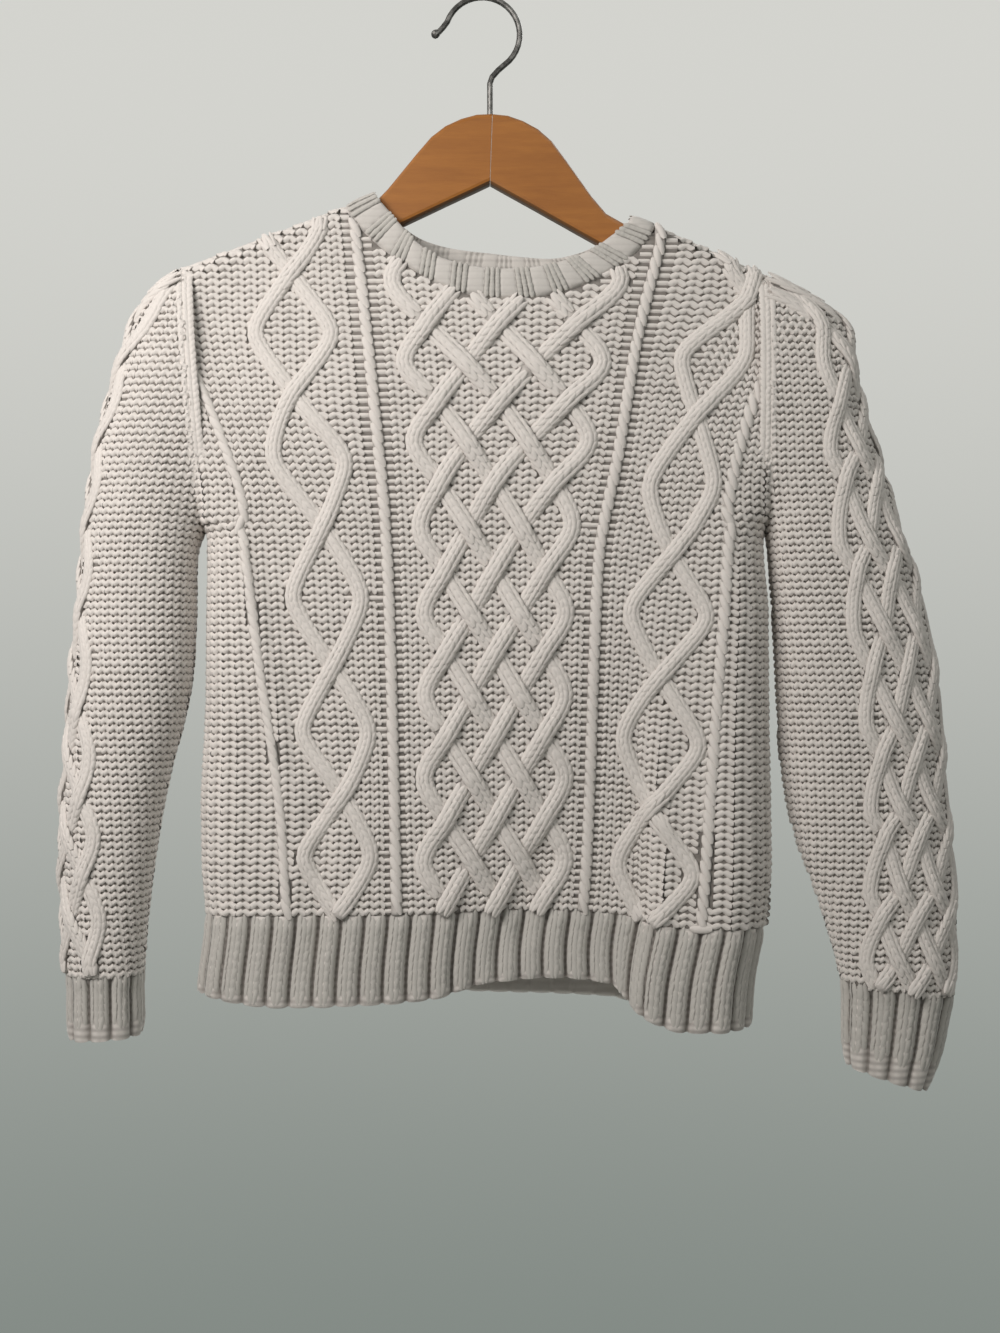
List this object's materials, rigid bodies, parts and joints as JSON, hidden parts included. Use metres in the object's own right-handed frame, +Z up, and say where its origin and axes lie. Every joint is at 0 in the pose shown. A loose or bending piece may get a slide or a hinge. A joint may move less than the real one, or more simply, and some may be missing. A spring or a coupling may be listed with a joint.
{
  "type": "cable knit sweater on a wooden clothes hanger",
  "caption": "Long-sleeved crew neck sweater in chunky cable knit with ribbed collar, hem and cuffs, hanging flat on a wooden hanger with a wire hook.",
  "frame": {"origin": "inside top of the hook, where a rail carries it", "axes": "+X to the right seen from the front, the front faces -Y, +Z up"},
  "size_m": [0.5783, 0.0626, 0.7107],
  "materials": {
    "knit": "matte warm off-white aran yarn",
    "rib": "matte warm off-white ribbed yarn",
    "wood": "clear varnished honey brown wood",
    "steel": "dull grey steel wire"
  },
  "bodies": {
    "root": {"front": "knit", "back": "knit", "sleeve_left": "knit", "sleeve_right": "knit", "collar": "rib", "hem_front": "rib", "hem_back": "rib", "cuff_left": "rib", "cuff_right": "rib", "hanger_arm_left": "wood", "hanger_arm_right": "wood", "hanger_hook": "steel"}
  },
  "joints": []
}
